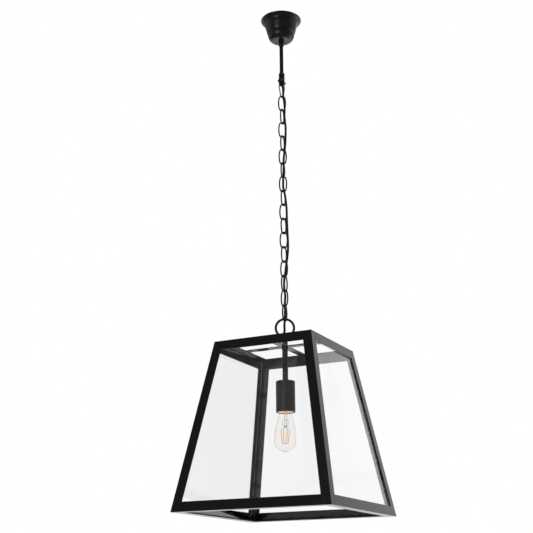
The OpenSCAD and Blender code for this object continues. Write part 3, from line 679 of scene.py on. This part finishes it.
blown, tree = material("blown_glass")
finish(tree, add(tree, "ShaderNodeBsdfPrincipled", {
    "Base Color": (0.976, 0.967, 0.958, 1), "Roughness": 0.0, "IOR": 1.12, "Transmission Weight": 1.0,
}))


def leaned(bm):
    """Turns a part of the bulb a little about the foot of its cap, the way it sits in the lampholder."""
    turn = Matrix.Rotation(bulb_lean, 3, lean_axis)
    bmesh.ops.rotate(bm, verts=bm.verts, cent=(0, 0, cap_foot), matrix=turn)
    return bm


profile = [(neck_radius, cap_foot + neck_tuck)]
for t in (i / 48 for i in range(49)):
    swell = math.sin(math.pi / 2 * t ** 0.92)
    profile.append((
        neck_radius + (envelope_radius - neck_radius) * swell, cap_foot + (widest - cap_foot) * t,
    ))
profile += bow((0, widest), (envelope_radius, widest - tip - pip_height), -2, -74, 30)
profile += bow((pip_radius + 0.0032, tip + pip_round), (0.0032, 0.0016), 95, 180, 6)
profile += bow((0, tip + pip_round), (pip_radius - 0.0002, pip_round), -10, -90, 8)
bulb = new_piece(
    "bulb_envelope", leaned(spun(profile, 96)), "bulb", [blown], 60, ["bulb_glass"],
)
walled(bulb, glass_wall)

cap_metal = metal("rolled_cap", (0.66, 0.56, 0.4), 0.28, mottle=0.1)
thread_pitch, thread_depth, thread_turns, thread_foot = 0.0036, 0.0008, 4, cap_foot + 0.004
profile = [(0.0, cap_top), (0.0032, cap_top - 0.0001), (0.0044, cap_top - 0.0012)]
profile += [(0.0090, cap_top - 0.0032), (cap_radius - 0.0012, cap_top - 0.0048)]
for turns in (thread_turns * i / 48 for i in range(48, -1, -1)):
    dip = thread_depth * (0.5 + 0.5 * math.cos(2 * math.pi * turns))
    profile.append((cap_radius - dip, thread_foot + thread_pitch * turns))
skirt = cap_radius - 0.0002
profile += [(skirt, cap_foot + 0.003), (skirt, cap_foot), (skirt - 0.0006, cap_foot)]
new_piece("bulb_screw_cap", spun(profile, 72), "bulb", [cap_metal], 40, ["bulb_cap"])

# the glass stem: a thin rod up from the lower wires, a pinch at the disc, and a flare into the cap
hub, disc_radius, disc_thick = tip + 0.069, 0.0036, 0.0012
foot_z, foot_radius = tip + 0.026, 0.0084
top_z, top_radius = tip + 0.056, 0.0122
profile = [(0, foot_z - 0.0024), (0.0012, foot_z - 0.0016), (0.0010, foot_z + 0.002)]
profile += [(0.0010, hub - 0.003), (0.0026, hub + 0.002), (0.0024, hub + 0.014), (0.0019, hub + 0.017)]
profile += [(0.0021, hub + 0.03), (0.0046, cap_foot - 0.004), (0.0108, cap_foot + 0.0015)]
profile += [(0.0112, cap_foot + 0.0026), (0, cap_foot + 0.0026)]
new_piece("glass_stem", leaned(spun(profile, 48)), "bulb", [blown], 50, ["bulb_mount"])


def rod(bm, start, stop, radius, sides=12):
    """A round rod between two points."""
    start, stop = Vector(start), Vector(stop)
    run = stop - start
    lie = Matrix.Translation((start + stop) / 2) @ run.to_track_quat("Z", "Y").to_matrix().to_4x4()
    bmesh.ops.create_cone(
        bm, cap_ends=True, segments=sides, radius1=radius, radius2=radius, depth=run.length, matrix=lie
    )


def around(radius, turn, z):
    """A point at a distance and a turn about the lantern's axis, and a height."""
    return Vector((radius * math.cos(turn), radius * math.sin(turn), z))


# each filament hangs from a wire out of the disc and is held at its foot by a wire from the stem, with
# a thicker pin at both its ends; two leads run up from the disc into the cap
filament_turns = [ring_turn + math.radians(25 + 90 * i) for i in range(4)]
wire_radius, pin_radius, lead_radius, lead_place = 0.0004, 0.0005, 0.0003, 0.0034
top_inside, foot_inside = top_radius - 0.0002, foot_radius - 0.0004
mount_wire = metal("mount_wire", (0.5, 0.49, 0.48), 0.3)
bm = bmesh.new()
for turn in filament_turns:
    root, knee = around(lead_place, turn, hub - 0.0010), around(0.0060, turn, hub - 0.0045)
    above, grip = around(top_inside, turn, top_z + 0.0024), around(top_radius, turn, top_z - 0.0012)
    clasp, below = around(foot_radius, turn, foot_z + 0.0012), around(foot_inside, turn, foot_z - 0.0016)
    rod(bm, root, knee, wire_radius)
    rod(bm, knee, around(top_inside, turn, top_z + 0.0022), wire_radius)
    rod(bm, above, grip, pin_radius)
    rod(bm, clasp, below, pin_radius)
    rod(bm, around(foot_inside, turn, foot_z - 0.0014), around(0, turn, foot_z - 0.0026), wire_radius)
for side in (-lead_place, lead_place):
    root = around(side, filament_turns[0], hub + 0.0005)
    rod(bm, root, around(side, filament_turns[0], cap_foot), lead_radius, 8)
new_piece("mount_wires", leaned(bm), "bulb", [mount_wire], 40, ["bulb_mount"])

edge = [(disc_radius - 0.0002, 0), (disc_radius, -0.0003), (disc_radius, 0.0003 - disc_thick)]
edge += [(disc_radius - 0.0002, -disc_thick), (0, -disc_thick)]
disc = leaned(spun([(0, hub)] + [(r, hub + z) for r, z in edge], 40))
new_piece("mount_disc", disc, "bulb", [mount_wire], 30, ["bulb_mount"])

getter_radius, getter_wire, getter_rise = 0.0084, 0.0007, 0.0093
dark_wire = metal("getter_wire", (0.3, 0.23, 0.18), 0.35)
bm, end = wire_end((0, 0, 0), getter_radius, 0, getter_wire, 10)
bend(bm, end, (0, 0, 0), 2 * math.pi, 40)
hung(closed(bm), hub + getter_rise, ring_turn)
new_piece("getter_loop", leaned(bm), "bulb", [dark_wire], 60, ["bulb_mount"])

rod_radius = 0.00125
amber, tree = material("amber_filament")
beads = noise(tree, place_on(tree), 500.0, 2.0)
glow = shaded(tree, beads, (0.93, 0.47, 0.17, 1), (1.0, 0.66, 0.33, 1))
finish(tree, add(tree, "ShaderNodeBsdfPrincipled", {
    "Base Color": glow, "Roughness": 0.4, "Emission Color": glow, "Emission Strength": 0.6,
}))
bm = bmesh.new()
for turn in filament_turns:
    rod(bm, around(foot_radius, turn, foot_z), around(top_radius, turn, top_z), rod_radius, 14)
new_piece("filament_rods", leaned(bm), "bulb", [amber], 40, ["filaments"])
